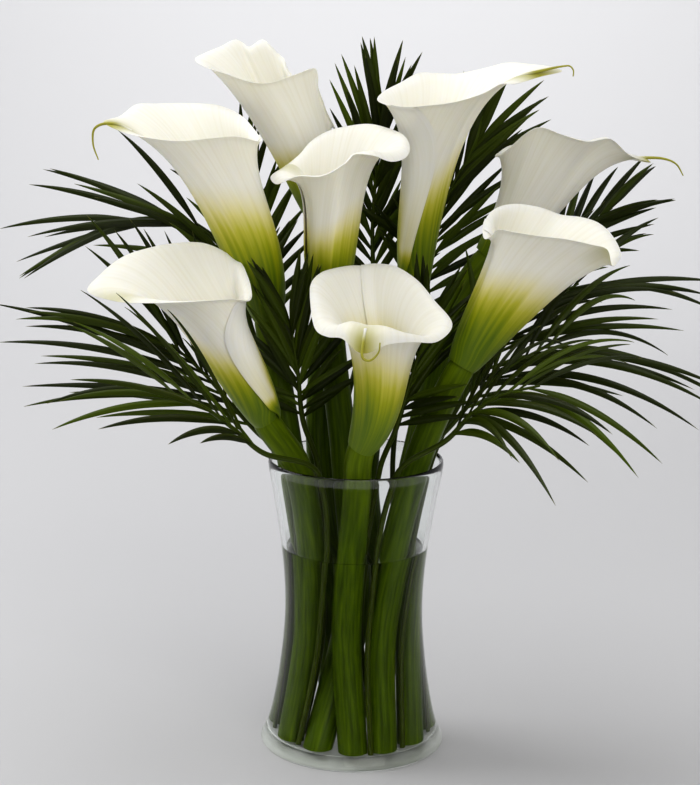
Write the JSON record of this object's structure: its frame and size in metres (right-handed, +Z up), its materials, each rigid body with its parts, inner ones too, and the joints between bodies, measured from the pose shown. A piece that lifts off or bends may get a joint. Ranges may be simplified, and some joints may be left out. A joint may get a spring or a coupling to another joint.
{
  "type": "calla lilies and palm fronds in a glass vase",
  "caption": "White calla lilies with palm foliage standing in water in a flared clear glass vase.",
  "frame": {"origin": "middle of the vase's flat underside", "axes": "+Z up through the vase, +X to the right and -Y towards the viewer of the front"},
  "size_m": [0.5637, 0.3336, 0.5443],
  "materials": {
    "glass": "clear pressed glass, smooth and colourless",
    "water": "still clear water",
    "stem": "fresh green flower stem, smooth with a soft sheen",
    "spathe": "waxy white petal, cream in its shade and green at its foot",
    "spadix": "matt golden yellow, finely grained",
    "palm": "dark green palm leaf, leathery with a soft gloss"
  },
  "bodies": {
    "root": {"vase": "glass", "water": "water", "calla_1_stem": "stem", "calla_1_spathe": "spathe", "calla_1_spadix": "spadix", "calla_2_stem": "stem", "calla_2_spathe": "spathe", "calla_2_spadix": "spadix", "calla_3_stem": "stem", "calla_3_spathe": "spathe", "calla_3_spadix": "spadix", "calla_4_stem": "stem", "calla_4_spathe": "spathe", "calla_4_spadix": "spadix", "calla_5_stem": "stem", "calla_5_spathe": "spathe", "calla_5_spadix": "spadix", "calla_6_stem": "stem", "calla_6_spathe": "spathe", "calla_6_spadix": "spadix", "calla_7_stem": "stem", "calla_7_spathe": "spathe", "calla_7_spadix": "spadix", "calla_8_stem": "stem", "calla_8_spathe": "spathe", "calla_8_spadix": "spadix", "palm_back_centre": "palm", "palm_back_right": "palm", "palm_right_back": "palm", "palm_right": "palm", "palm_right_low": "palm", "palm_right_lowest": "palm", "palm_left_up": "palm", "palm_left_low": "palm", "palm_left_lowest": "palm", "palm_middle_left": "palm", "palm_middle_right": "palm", "palm_back_left": "palm"}
  },
  "joints": []
}
